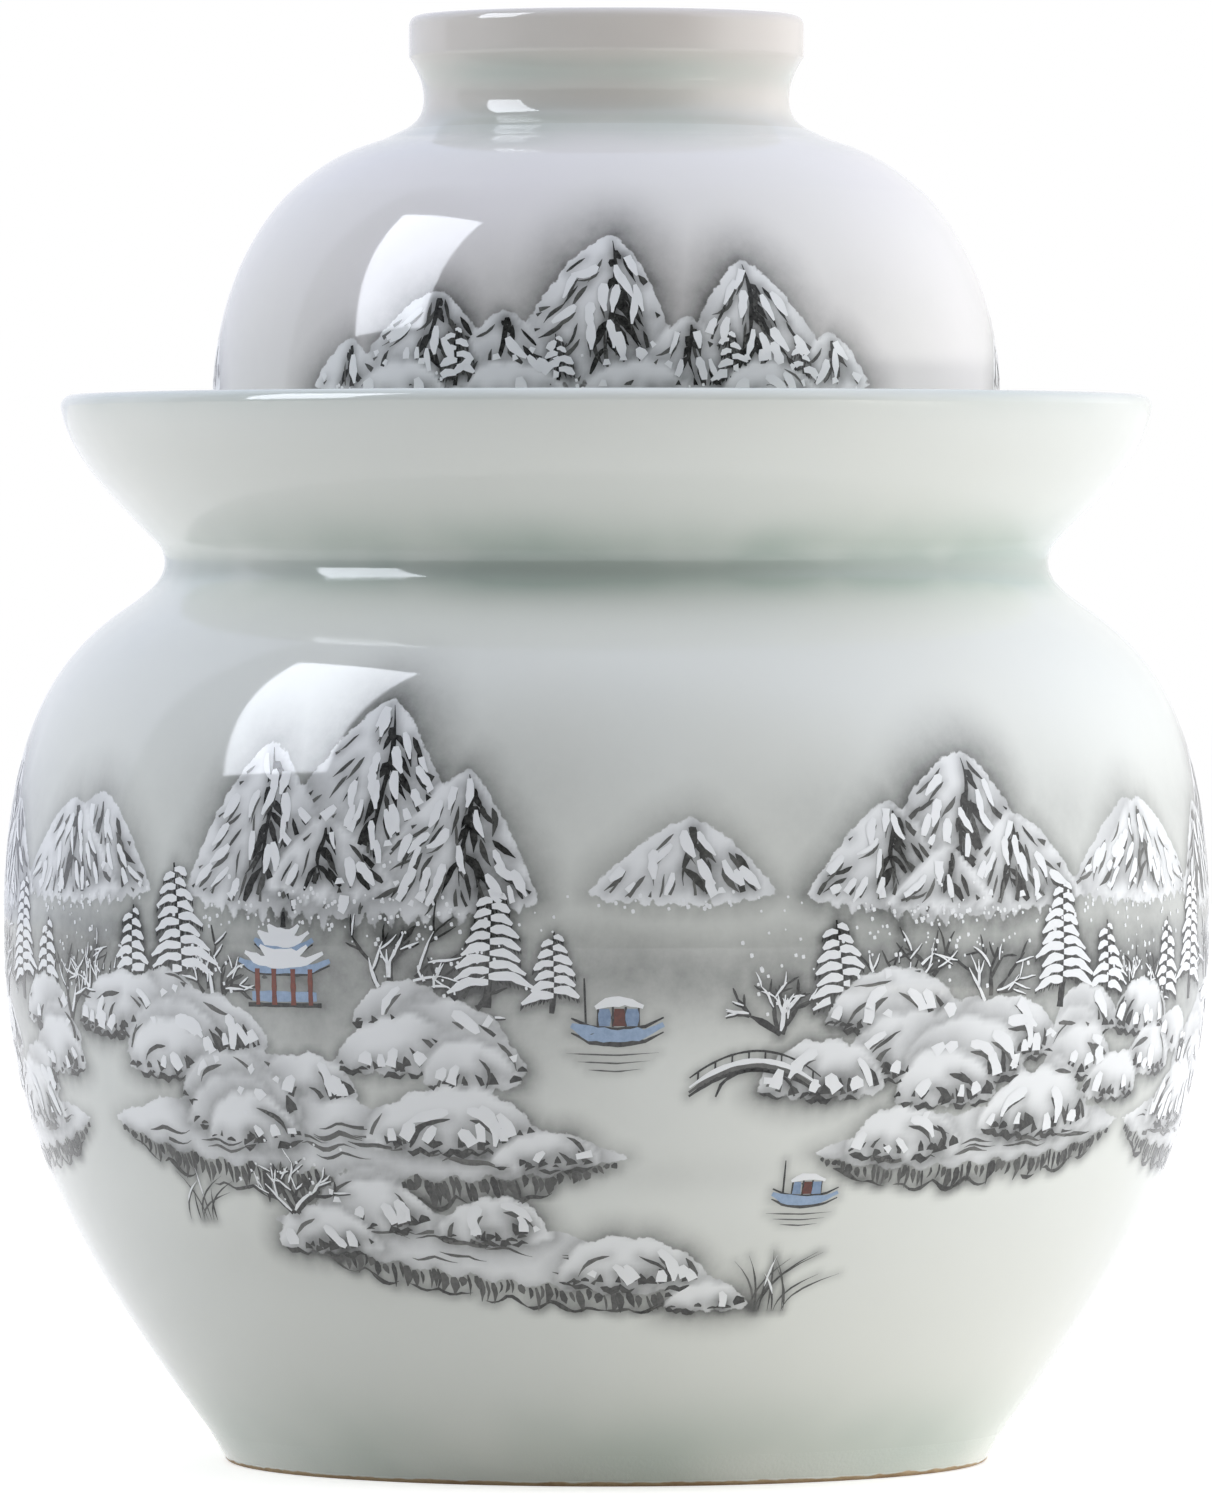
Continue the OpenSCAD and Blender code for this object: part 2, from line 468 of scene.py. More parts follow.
def lid_pool(u, z, r):
    """The same at the lid's waist, and bare clay on the rim that stands in the trough."""
    return {"pool": 0.6 * near(z, DOME_Z, 4) + 0.7 * near(z, DOME_Z + 10, 3), "bare": near(z, TROUGH_Z, 1.6)}


def foot_fields(u, z, r):
    return {"outside": (r > FOOT_R - 1).astype(float), **jar_pool(u, z, r)}


def printed(painting, pool, low, high, u, z, r):
    """A painted piece's fields, with the print on its outside between two heights."""
    way = painting.surface.way_at(z)
    outside = (r > painting.surface.radius(way) - THIN) & (z > low) & (z < high)
    values = np.tile([FAR, 0.0, 0.0], (len(u), 1))
    values[outside] = painting.fields(u[outside], way[outside])
    return {**pool(u, z, r), "print": values}


def foot_ring(material):
    inner = FOOT_R - FOOT_W
    ring = Turned("jar_foot_ring", PLAIN, (inner, FOOT_H))
    ring.to(inner, 1, 1)
    ring.turn(1, 180, 0.4)
    ring.to(FOOT_R - 1, 0, 3)
    ring.bend((0.6, 0), (1, 0.5), (FOOT_R + 0.5, 1.1), 0.3)
    ring.to(FOOT_R + FOOT_FLARE, FOOT_H, 0.6)
    ring.to(inner, FOOT_H, 5)
    ring.build("jar", "foot_ring", "bare_porcelain", material, foot_fields)


def lower_body(material, fields):
    inner = above(curve(*BELLY, JAR_WALL), FLOOR_Z + 4)[::-1]
    body = Turned("jar_lower_body", COARSE, (0, FOOT_H))
    body.to(FOOT_R + FOOT_FLARE, FOOT_H, 16)
    body.run(curve(*BELLY), PRINT_STEP, FINE)
    body.to(*inner[0], 6)
    body.run(inner, INNER_STEP)
    body.bend((0.3, 0.6), (0.5, 1), (FOOT_R - JAR_WALL - 3, FLOOR_Z), 1.5)
    body.to(0, FLOOR_Z, 12)
    body.build("jar", "lower_body", "printed_glaze", material, fields)


def upper_body(material, fields):
    inner = curve(*SHOULDER, JAR_WALL)
    ceiling = curve(inner[-1], (0.2, 0.55), (0.7, 1), (MOUTH_R + 1, CEILING_Z))
    body = Turned("jar_upper_body", COARSE, SHOULDER[0])
    body.run(join(curve(*SHOULDER), curve(*CREASE), curve(*UNDERCUT)), PRINT_STEP, FINE)
    body.to(MOUTH_R, TROUGH_Z, 6)
    body.to(MOUTH_R, CEILING_Z + 1, 5)
    body.bend((0, 0.6), (0.4, 1), (MOUTH_R + 1, CEILING_Z), 0.6)
    body.run(ceiling[::-1], 3)
    body.run(inner[::-1], INNER_STEP)
    body.to(BELLY_R, BELLY_Z, 6)
    body.build("jar", "upper_body", "printed_glaze", material, fields)


def trough_wall(material):
    floor_r = CREASE_R - FLARE_WALL
    inner = above(curve(*FLARE, FLARE_WALL)[::-1], TROUGH_Z + 4)
    wall = Turned("jar_trough_wall", PLAIN, (floor_r, TROUGH_Z))
    wall.to(*FLARE[0], 3)
    wall.run(curve(*FLARE), PLAIN_STEP)
    wall.turn(FLARE_WALL / 2, 0, 0.5, sweep=180)
    wall.run(join([wall.end], inner), PLAIN_STEP)
    wall.bend((0.3, 0.6), (0.5, 1), (floor_r, TROUGH_Z), 0.8)
    wall.build("jar", "trough_wall", "plain_glaze", material, jar_pool)


def mouth_neck(material):
    outer_r = MOUTH_R + MOUTH_WALL
    neck = Turned("jar_mouth_neck", PLAIN, (MOUTH_R, TROUGH_Z))
    neck.to(outer_r, TROUGH_Z, 3)
    neck.to(outer_r, MOUTH_Z - MOUTH_EDGE, PLAIN_STEP)
    neck.turn(MOUTH_EDGE, 0, 0.4)
    neck.to(MOUTH_R + MOUTH_EDGE, MOUTH_Z, 1)
    neck.turn(MOUTH_EDGE, 90, 0.4)
    neck.to(MOUTH_R, TROUGH_Z, PLAIN_STEP)
    neck.build("jar", "mouth_neck", "plain_glaze", material, jar_pool)


def outer_lid_dome(material, fields):
    rim = (LID_R - LID_WALL, TROUGH_Z + LID_EDGE)
    inner = curve(*LID_SIDE, LID_WALL)
    ceiling = curve(inner[-1], (0.16, 0.6), (0.5, 1), (RING_R * 2 / 3, LID_CEILING_Z))
    dome = Turned("outer_lid_bell", COARSE, rim)
    dome.turn(LID_EDGE, 180, 0.5)
    dome.to(LID_R - LID_EDGE, TROUGH_Z, 3)
    dome.turn(LID_EDGE, 270, 0.5, FINE)
    wall = curve(dome.end, (0, 0.5), (0.4, 0.85), LID_SIDE[0])
    dome.run(join(wall, curve(*LID_SIDE), curve(*LID_SHOULDER), line(RING_FOOT)), PRINT_STEP, FINE)
    dome.to(0, DOME_Z, 8)
    dome.run(join(line((0, LID_CEILING_Z)), ceiling[::-1]), 3, joined=False)
    dome.run(join(inner[::-1], line(rim)), INNER_STEP)
    dome.build("outer_lid", "outer_lid_dome", "printed_glaze", material, fields)


def outer_lid_grip_ring(material):
    waist = (WAIST_R, DOME_Z + 6)
    neck = curve(RING_FOOT, (0.65, 0.2), (1, 0.5), waist)
    collar = curve(waist, (0, 0.45), (0.55, 0.75), (RING_R, DOME_Z + 14))
    ring = Turned("outer_lid_ring", PLAIN, (HOLLOW_R, DOME_Z))
    ring.to(*RING_FOOT, 4)
    ring.run(join(neck, collar, line((RING_R, TOP_Z - RING_EDGE))), 0.5)
    ring.turn(RING_EDGE, 0, 0.35)
    ring.to(HOLLOW_R + RING_EDGE, TOP_Z, 1)
    ring.turn(RING_EDGE, 90, 0.35)
    ring.to(HOLLOW_R, DOME_Z, PLAIN_STEP)
    ring.build("outer_lid", "outer_lid_grip_ring", "plain_glaze", material, lid_pool)


def inner_lid_plate(material):
    spigot_z = MOUTH_Z - SPIGOT_H
    hollow_r = SPIGOT_R - SPIGOT_W
    plate = Turned("inner_lid_disc", COARSE, (0, MOUTH_Z))
    plate.to(hollow_r, MOUTH_Z, 9)
    plate.to(hollow_r + 0.5, spigot_z + 1, 2)
    plate.turn(1, 180, 0.5)
    plate.to(SPIGOT_R - 1.5, spigot_z, 2)
    plate.turn(1, 270, 0.5)
    plate.to(SPIGOT_R, MOUTH_Z, 2)
    plate.to(PLATE_R - PLATE_EDGE, MOUTH_Z, 3)
    plate.turn(PLATE_EDGE, 270, 0.4)
    plate.to(PLATE_R, MOUTH_Z + PLATE_H - PLATE_EDGE, 1)
    plate.turn(PLATE_EDGE, 0, 0.4)
    plate.bend((0.3, 0.1), (0.7, 0.8), (2 * KNOB_R, KNOB_Z), 3)
    plate.to(0, KNOB_Z, 6)
    plate.build("inner_lid", "inner_lid_plate", "plain_glaze", material, lid_pool)


def inner_lid_knob(material):
    stem = (KNOB_R * 2 / 3, KNOB_Z)
    widest = (KNOB_R, KNOB_Z + KNOB_H * 0.6)
    lower = curve(stem, (-0.7, 0.4), (1, 0.4), widest)
    upper = curve(widest, (0, 0.6), (0.4, 1), (0, KNOB_Z + KNOB_H))
    knob = Turned("inner_lid_button", COARSE, (0, KNOB_Z))
    knob.to(*stem, 3)
    knob.run(join(lower, upper), 0.6)
    knob.build("inner_lid", "inner_lid_knob", "plain_glaze", material, lid_pool)


class Surface:
    """The outside of a piece as a sheet to paint on."""

    def __init__(self, *outline):
        self.outline = resample(join(*outline), 0.3)
        self.way = lengths(self.outline)
        self.normals = outward(self.outline)

    def radius(self, v):
        return np.interp(v, self.way, self.outline[:, 0])

    def way_at(self, z):
        return np.interp(z, self.outline[:, 1], self.way)

    def place(self, u, v, proud):
        """The points at an angle and a way up, proud of the surface, and the surface's normals there."""
        r, z = (np.interp(v, self.way, self.outline[:, i]) for i in (0, 1))
        across, up = (np.interp(v, self.way, self.normals[:, i]) for i in (0, 1))
        normals = np.stack([across * np.sin(u), -across * np.cos(u), up], 1)
        return np.stack([r * np.sin(u), -r * np.cos(u), z], 1) + normals * proud[:, None], normals


def apart(points, start, end):
    """How far points lie from the nearest of some straight pieces."""
    dx, dy = (end - start).T
    x = points[:, :1] - start[:, 0]
    y = points[:, 1:] - start[:, 1]
    along = np.clip((x * dx + y * dy) / np.maximum(dx * dx + dy * dy, LEAST), 0, 1)
    return np.sqrt(((x - along * dx) ** 2 + (y - along * dy) ** 2).min(1))


def signed(points, outline):
    """How far points lie from a closed outline, negative inside it."""
    ends = np.roll(outline, -1, axis=0)
    dx, dy = (ends - outline).T
    x = points[:, :1] - outline[:, 0]
    y = points[:, 1:] - outline[:, 1]
    level = (y < 0) != (y < dy)
    crossed = level & (x < y * (dx / np.where(abs(dy) < LEAST, LEAST, dy)))
    gap = apart(points, outline, ends)
    return np.where(crossed.sum(1) % 2 == 1, -gap, gap)


def smooth(value, low, high):
    t = np.clip((value - low) / (high - low), 0, 1)
    return t * t * (3 - 2 * t)


def darker(grey, more):
    """One grey laid over another, where 1 is darkest."""
    return 1 - (1 - grey) * (1 - more)


INKS = ("ink", "blue", "rust", "snow")
# How far apart a stroke's points lie, how short it may be, and how deep under snow its points are hidden
STROKE_STEP = 1.3
SHORTEST = 0.3
BURIED = 0.2
# The flat map's margin, the width of half the way round, and how much of the height of its place a half fills
MAP_MARGIN = 0.01
MAP_HALF = 0.84
MAP_FILL = 0.97
# How far each ink's strokes stand proud, and where its strip begins and ends in their flat map
PROUD = (0.03, 0.04, 0.05, 0.06)
STRIPS = ((0.01, 0.5), (0.88, 0.93), (0.94, 0.99), (0.52, 0.86))


class Painting:
    """Snow, wash and ink in the order they are laid down. A patch of snow hides the ink behind it.

    The soft layers lie on a grid of ways up and angles: the snow's signed distance, and the grey of the wash
    outside the snow and inside it. The strokes become thin ribbons of their own.
    """

    ROW = 0.5

    def __init__(self, surface, seed):
        self.surface = surface
        self.random = np.random.default_rng(seed)
        self.u = np.arange(FINE) * TURN / FINE - math.pi
        self.v = np.arange(0, surface.way[-1], self.ROW)
        self.snow = np.full((len(self.v), FINE), FAR)
        self.outer = np.zeros_like(self.snow)
        self.inner = np.zeros_like(self.snow)
        self.patches = []
        self.strokes = []

    def spot(self, turn, flip, degrees, z):
        return Spot(self, math.radians(turn + flip * degrees), self.surface.way_at(z), flip)

    def fields(self, u, v):
        """The soft layers at points of the surface, which lie on the grid's angles."""
        column = np.round((u + math.pi) / TURN * FINE).astype(int) % FINE
        row = np.clip(v / self.ROW, 0, len(self.v) - 1.001)
        low = row.astype(int)
        share = row - low
        layers = (self.snow, self.outer, self.inner)
        return np.stack([x[low, column] * (1 - share) + x[low + 1, column] * share for x in layers], 1)

    def hidden(self, points, own):
        """Which points lie behind a patch of snow that is later than their own stroke."""
        behind = np.zeros(len(points), bool)
        for spot, outline, order in self.patches:
            local = spot.local(points[:, 0], points[:, 1])
            close = (own < order) & ((local > outline.min(0)) & (local < outline.max(0))).all(1)
            behind[close] |= signed(local[close], outline) < -BURIED
        return behind

    def flat_map(self, points, own, kind):
        """A flat place for each point: each ink has its own strip, for the two halves of the way round.

        A stroke lies in the half that its first angle is in, and runs on past the end of it.
        """
        turn = points[:, 0] / TURN
        first = np.full(own[-1] + 1, np.inf)
        np.minimum.at(first, own, turn)
        turn = 2 * (turn - np.floor(first)[own])
        half = np.floor(2 * (first - np.floor(first)))[own]
        up = (points[:, 1] - points[:, 1].min()) / np.ptp(points[:, 1])
        low, high = np.array(STRIPS)[kind].T
        across = MAP_MARGIN + MAP_HALF * (turn - half)
        return np.stack([across, low + (high - low) * (half + MAP_FILL * up) / 2], 1)

    def build(self, name, body, slot, materials):
        """Makes one thin mesh of all the strokes, which rides on the body."""
        points, width, shown = (np.concatenate([s[i] for s in self.strokes]) for i in range(3))
        own = np.repeat(np.arange(len(self.strokes)), [len(s[0]) for s in self.strokes])
        kind, tone = (np.array([s[i] for s in self.strokes])[own] for i in (3, 4))
        shown &= ~self.hidden(points, own)
        index = np.arange(len(own))
        after = np.where(np.roll(own, -1) == own, np.roll(index, -1), index)
        before = np.where(np.roll(own, 1) == own, np.roll(index, 1), index)
        r = self.surface.radius(points[:, 1])
        run = (points[after] - points[before]) * np.stack([r, np.ones_like(r)], 1)
        run /= np.maximum(np.linalg.norm(run, axis=1), TINY)[:, None]
        aside = np.stack([-run[:, 1] / r, run[:, 0]], 1) * (width / 2)[:, None]
        proud = np.array(PROUD)[kind]
        left, normals = self.surface.place(*(points + aside).T, proud)
        right, _ = self.surface.place(*(points - aside).T, proud)
        low = index[(after != index) & shown & shown[after]]
        high = after[low]
        count = len(index)
        faces = np.stack([low + count, high + count, high, low], 1)
        used, faces = np.unique(faces, return_inverse=True)
        at = np.concatenate([left, right])[used]
        mesh = bpy.data.meshes.new(name)
        mesh.from_pydata((at * MM).tolist(), [], faces.reshape(-1, 4).tolist())
        mesh.shade_smooth()
        mesh.polygons.foreach_set("material_index", kind[low].astype(np.int32))
        mesh.normals_split_custom_set_from_vertices(np.concatenate([normals, normals])[used].tolist())
        sides = np.concatenate([self.flat_map(points + way * aside, own, kind) for way in (1, -1)])[used]
        mesh.uv_layers.new(name="OFBake").uv.foreach_set("vector", sides[faces.ravel()].ravel())
        add_field(mesh, "tone", np.concatenate([tone, tone])[used])
        for material in materials:
            mesh.materials.append(material)
        piece = linked(name, mesh)
        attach(piece, body)


class Spot:
    """A place on a painting with its own x round the piece, or back where flip is -1, and its own y up."""

    def __init__(self, painting, u, v, flip):
        self.painting = painting
        self.surface = painting.surface
        self.random = painting.random
        self.uniform = painting.random.uniform
        self.u = u
        self.v = v
        self.flip = flip

    def shifted(self, x, y):
        (u, v), = self.onto(line((x, y)))
        return Spot(self.painting, u, v, self.flip)

    def onto(self, points):
        """Angles and ways up of points in this place's own x and y."""
        v = self.v + points[:, 1]
        return np.stack([self.u + self.flip * points[:, 0] / self.surface.radius(v), v], 1)

    def local(self, u, v):
        turn = (u - self.u + math.pi) % TURN - math.pi
        return np.stack([self.flip * turn * self.surface.radius(v), v - self.v], 1)

    def window(self, low, high):
        """The part of the grid over a box round this place, and its points in this place's x and y."""
        grid = self.painting
        rows = np.flatnonzero((grid.v > self.v + low[1]) & (grid.v < self.v + high[1]))
        if len(rows) == 0:
            return None, None
        narrowest = self.surface.radius(grid.v[rows]).min()
        ends = sorted(self.u + self.flip * x / narrowest for x in (low[0], high[0]))
        first, last = (math.floor((end + math.pi) / TURN * FINE) for end in ends)
        columns = np.arange(first, last + 2) % FINE
        v, u = np.meshgrid(grid.v[rows], grid.u[columns], indexing="ij")
        return np.ix_(rows, columns), self.local(u.ravel(), v.ravel())

    def cloud(self, half, height, amount):
        """A soft-edged grey wash."""
        outer = self.painting.outer
        at, local = self.window((-2.2 * half, -2.2 * height), (2.2 * half, 2.2 * height))
        x, y = local.T.reshape(2, *outer[at].shape)
        outer[at] = darker(outer[at], amount * np.exp(-((x / half) ** 2) - (y / height) ** 2))

    def patch(self, outline, halo=0.7, reach=3.0, shade=0.5):
        """White snow with a dark halo outside it and a grey shade low on its right."""
        snow, outer, inner = self.painting.snow, self.painting.outer, self.painting.inner
        self.painting.patches.append((self, outline, len(self.painting.strokes)))
        low, high = outline.min(0), outline.max(0)
        at, local = self.window(low - 3 * reach, high + 3 * reach)
        shape = snow[at].shape
        gap = signed(local, outline).reshape(shape)
        x, y = ((local - low) / (high - low)).T.reshape(2, *shape)
        dark = halo * np.exp(-np.maximum(gap, 0) / reach) * smooth(3 * reach - gap, 0, 2 * reach)
        cover = smooth(-gap, -0.5, 0.5)
        grey = shade * smooth(0.75 * x - y, -0.35, 0.55) * smooth(-gap, 0.6, 3.0)
        snow[at] = np.minimum(snow[at], np.clip(gap, -FAR, FAR))
        outer[at] = np.maximum(outer[at], dark)
        inner[at] = np.maximum(inner[at], dark * smooth(gap, 0, 1)) * (1 - cover) + grey * cover

    def stroke(self, points, width, kind="ink", tone=0.0, taper=(0.12, 0.1), keep=None, margin=1.0, soft=0.3):
        """A stroke of the brush, thinner at its ends, and left out outside the outline in keep.

        taper is how much of the width is left at its start and its end, and soft how dark a blur it leaves.
        """
        points = np.asarray(points, float)
        way = lengths(points)
        if way[-1] < SHORTEST:
            return
        t = np.linspace(0, 1, max(4, math.ceil(way[-1] / STROKE_STEP) + 1))
        points = np.stack([np.interp(t * way[-1], way, points[:, i]) for i in (0, 1)], 1)
        start, end = np.broadcast_to(taper, 2)
        press = np.minimum(smooth(t, -0.02, 0.3) + start, smooth(1 - t, -0.02, 0.55) + end)
        width = width * np.minimum(press, 1) * self.uniform(0.82, 1.18, len(t))
        shown = np.ones(len(t), bool) if keep is None else signed(points, keep) < -margin
        self.painting.strokes.append((self.onto(points), width, shown, INKS.index(kind), tone))
        drawn = np.flatnonzero(shown[:-1] & shown[1:])
        if kind != "ink" or len(drawn) == 0:
            return
        blur = 0.9 + 0.4 * width.max()
        seen = points[shown]
        at, local = self.window(seen.min(0) - 2 * blur, seen.max(0) + 2 * blur)
        if at is None:
            return
        for layer in (self.painting.outer, self.painting.inner):
            gap = apart(local, points[drawn], points[drawn + 1]).reshape(layer[at].shape)
            layer[at] = darker(layer[at], soft * (1 - 0.6 * tone) * np.exp(-((gap / blur) ** 2)))

    def scaled(self, scale):
        """A brush for strokes whose points and width are given in units of a scale."""
        def brush(points, width, *looks, **more):
            self.stroke(np.array(points) * scale, width * scale, *looks, **more)
        return brush


def scallops(x, count, phase):
    """Rounded bulges side by side, between 0 and 1, with sharp notches between them."""
    return abs(np.sin(math.pi * (count * x + phase)))


def closed(x, top, bottom):
    """A closed outline between two heights along x."""
    top = np.maximum(top, bottom + 0.05)
    return np.concatenate([np.stack([x, top], 1), np.stack([x, bottom], 1)[-2:0:-1]])


def folds(spot, outline, flow, gap, long, look, keep=0.8, lobe=1.5):
    """Fills a patch with strokes along its flow. look gives their chance, width and tone at a place."""
    uniform = spot.uniform
    low, high = outline.min(0), outline.max(0)
    x, y = np.meshgrid(np.arange(low[0], high[0], gap), np.arange(low[1], high[1], 1.25 * gap))
    x = x + gap * (np.arange(len(x)) % 2)[:, None] / 2
    starts = np.stack([x.ravel(), y.ravel()], 1)
    starts = starts + uniform(-0.42, 0.42, starts.shape) * gap
    for at in starts[signed(starts, outline) < -keep]:
        chance, width, tone = look((at - low) / (high - low))
        if uniform() > chance:
            continue
        wander = uniform(-0.3, 0.3)
        path = [at]
        for _ in range(6):
            angle = flow(path[-1]) + wander
            path.append(path[-1] + np.array([math.cos(angle), math.sin(angle)]) * long / 6)
            wander += uniform(-0.22, 0.22)
        width *= uniform(0.6, 1.35)
        tone = max(0.0, tone + uniform(-0.25, 0.25))
        spot.stroke(path, width, tone=tone, keep=outline, margin=keep, soft=0.4)
        if uniform() < 0.6:
            wide = lobe * uniform(0.7, 1.3)
            side = np.array(path) + (uniform(-0.5, 0.3), 0.5 * width + 0.55 * wide)
            spot.stroke(side, wide, "snow", taper=(0.5, 0.3), keep=outline, margin=keep + 0.4)


def skim(spot, edge, count, starts, long, width, tone):
    """Strokes that follow stretches of an edge."""
    for _ in range(count):
        i = spot.random.integers(*starts)
        stretch = edge[i : i + spot.random.integers(*long)]
        spot.stroke(stretch, spot.uniform(*width), tone=spot.uniform(0, tone))


def peak(spot, half, height, lean=0.1, tone=0.0, halo=0.8):
    """A pointed snow peak whose folds fall away from a wavy spine on both sides."""
    uniform = spot.uniform
    t = np.linspace(-1, 1, 61)
    side = np.where(t < lean, (lean - t) / (1 + lean), (t - lean) / (1 - lean))
    lumps = scallops(t, half / 7, uniform()) + 0.6 * scallops(t, half / 3.1, uniform())
    top = height * (1 - side ** uniform(1.25, 1.6)) + 0.07 * height * lumps * side * (1 - side)
    fingers = 0.16 * height * scallops(t, half / 3.4, uniform()) * uniform(0.4, 1, 61)
    bottom = -0.08 * height * (1 - t * t) - fingers * (1 - t**4)
    outline = closed(t * half, top, bottom)
    spot.patch(outline, halo, 3.5 + height * 0.08, 0.5 - 0.2 * tone)
    bow = uniform(-0.12, 0.12) * half
    beat = uniform(5, 8)

    def spine(y):
        down = 1 - y / height
        return lean * half + bow * down + 0.05 * half * math.sin(beat * down)

    def flow(at):
        off = (at[0] - spine(at[1])) / (half * (1.1 - 0.75 * np.clip(at[1] / height, 0, 1)))
        return math.radians(-90 + 58 * np.clip(1.25 * off, -1, 1))

    def look(share):
        width, grey = (1.0, 0.15) if share[0] > 0.5 + 0.5 * lean else (0.7, 0.45)
        low = 1 - smooth(share[1], 0.05, 0.3)
        return 0.92 - 0.25 * low, width - 0.2 * low, tone + grey + 0.25 * low

    folds(spot, outline, flow, 2.7, 5.5, look)
    levels = np.linspace(0.96, 0.1, 16) * height
    spot.stroke([(spine(y), y) for y in levels], 0.9, tone=tone, keep=outline, margin=0.7)
    flecks(spot.shifted(0, -0.14 * height), 1.3 * half, 0.16 * height, round(1.2 * half))
    for _ in range(round(height * 0.5)):
        y = height * uniform(0.15, 0.9)
        out = spot.random.choice((-0.6, 1.0))
        reach = half * 0.5 * uniform(0.4, 1) * (1.1 - y / height)
        rib = line((0, 0), (0.45 * out, -0.3), (out, -1.1)) * reach + (spine(y), y)
        spot.stroke(rib, uniform(0.9, 1.7), tone=tone, keep=outline, margin=0.8)


def massif(spot, half, height):
    """A few peaks, the tallest behind and lower ones before it on either side."""
    uniform = spot.uniform
    peak(spot.shifted(uniform(-0.1, 0.1) * half, 0), 0.62 * half, height, 0.15)
    for x, share, wide in ((-0.5, 0.7, 0.44), (0.48, 0.62, 0.44), (-0.12, 0.38, 0.34)):
        moved = spot.shifted((x + uniform(-0.05, 0.05)) * half, uniform(-0.05, 0.03) * height)
        peak(moved, wide * half, height * share * uniform(0.9, 1.1), uniform(-0.2, 0.3), halo=0.64)


def rock(spot, half, height):
    """A boulder under snow: white on top, folded down its sides, and dark along its foot."""
    uniform = spot.uniform
    t = np.linspace(-1, 1, 41)
    lean = uniform(-0.3, 0.2)
    dome = np.clip(1 - abs((t - lean) / np.where(t < lean, 1 + lean, 1 - lean)) ** 2.2, 0, 1) ** 0.65
    top = height * dome * (1 + 0.1 * scallops(t, uniform(1.5, 2.6), uniform()))
    bottom = -height * (0.1 * (1 - t * t) + 0.14 * scallops(t, half / 3.2, uniform()) * (1 - t**4))
    outline = closed(t * half, top, bottom)
    spot.patch(outline)

    def flow(at):
        x = at[0] / half - lean
        return math.atan2(-abs(x) * height - 0.2 * height, math.copysign(max(at[1] / height, 0.12) * half, x))

    def look(share):
        dark = smooth(0.6 * share[0] - share[1], -0.75, 0.1)
        return 0.1 + 0.8 * dark, 0.5 + 0.75 * dark, 0.65 - 0.6 * dark

    folds(spot, outline, flow, 2.9, 3.5 + 0.3 * half, look, 0.5, 2.0)
    for _ in range(round(0.9 * half)):
        x = uniform(-0.95, 1) * half
        y = np.interp(x, t * half, bottom)
        tall = height * uniform(0.16, 0.48) * (0.85 + 0.45 * x / half)
        bow = uniform(-0.6, 0.1) * tall
        dab = ((x, y + 0.2), (x + 0.35 * bow, y + 0.5 * tall), (x + bow, y + tall))
        spot.stroke(dab, uniform(0.9, 2.5), tone=uniform(0, 0.2), keep=outline, margin=0.2)
    edge = np.stack([t * half, bottom - 0.25], 1)
    skim(spot, edge, round(half / 2.2), (0, 33), (5, 10), (0.6, 1.5), 0.2)


def flecks(spot, half, height, count):
    """Small touches of snow scattered round a place."""
    for x, y in spot.random.normal(size=(count, 2)) * (half / 2, height / 2):
        size = spot.uniform(0.35, 0.9)
        spot.stroke(((x, y), (x + 0.8 * size, y + 0.1)), size, "snow", taper=0.7)


def heap(spot, half, height, count):
    """Boulders piled from back to front, the nearer ones lower."""
    for k in range(count):
        row = k / max(1, count - 1)
        x = half * spot.uniform(-1, 1) * (0.5 + 0.5 * row)
        y = height * (0.7 * (1 - row) + spot.uniform(-0.06, 0.06))
        size = spot.uniform(0.24, 0.5) * half
        rock(spot.shifted(x, y), size + 3, 0.5 * size + 4)


def bank(spot, half, height, slope):
    """A flat bank of snow that ends in a ragged cliff, hatched with upright strokes."""
    uniform = spot.uniform
    t = np.linspace(-1, 1, 81)
    x = t * half
    inside = 1 - t**4
    swell = (1 - abs(t) ** 3) * height
    tilt = slope * half * t
    top = tilt + 0.55 * swell + 0.14 * height * scallops(t, half / 11, uniform()) * inside
    bottom = tilt - 0.45 * swell - 0.16 * height * scallops(t, half / 7, uniform()) * inside
    outline = closed(x, top, bottom)
    spot.patch(outline, 0.4, 2.4, 0.2)
    drop = 0.5 * height * inside * (0.75 + 0.25 * scallops(t, half / 9, uniform()))
    at = -0.95 * half
    while at < 0.95 * half:
        y = np.interp(at, x, bottom) - 0.2
        tall = np.interp(at, x, drop) * uniform(0.45, 1.1)
        hatch = ((at, y), (at + 0.3, y - 0.5 * tall), (at + uniform(-0.6, 0.8), y - tall))
        spot.stroke(hatch, uniform(0.5, 1.7), tone=uniform(0, 0.5), taper=(0.5, 0.1), soft=0.4)
        at += uniform(0.7, 1.9)
    skim(spot, np.stack([x, bottom - 0.95 * drop], 1), round(half / 2), (3, 70), (5, 9), (0.4, 1.1), 0.4)
    middle = np.stack([x, 0.5 * (top + bottom)], 1)
    for _ in range(round(half / 2.5)):
        i = spot.random.integers(8, 66)
        drift = middle[i : i + 9] + (0, uniform(-0.35, 0.25) * height)
        spot.stroke(drift, uniform(0.4, 0.9), tone=uniform(0.3, 0.7), keep=outline)


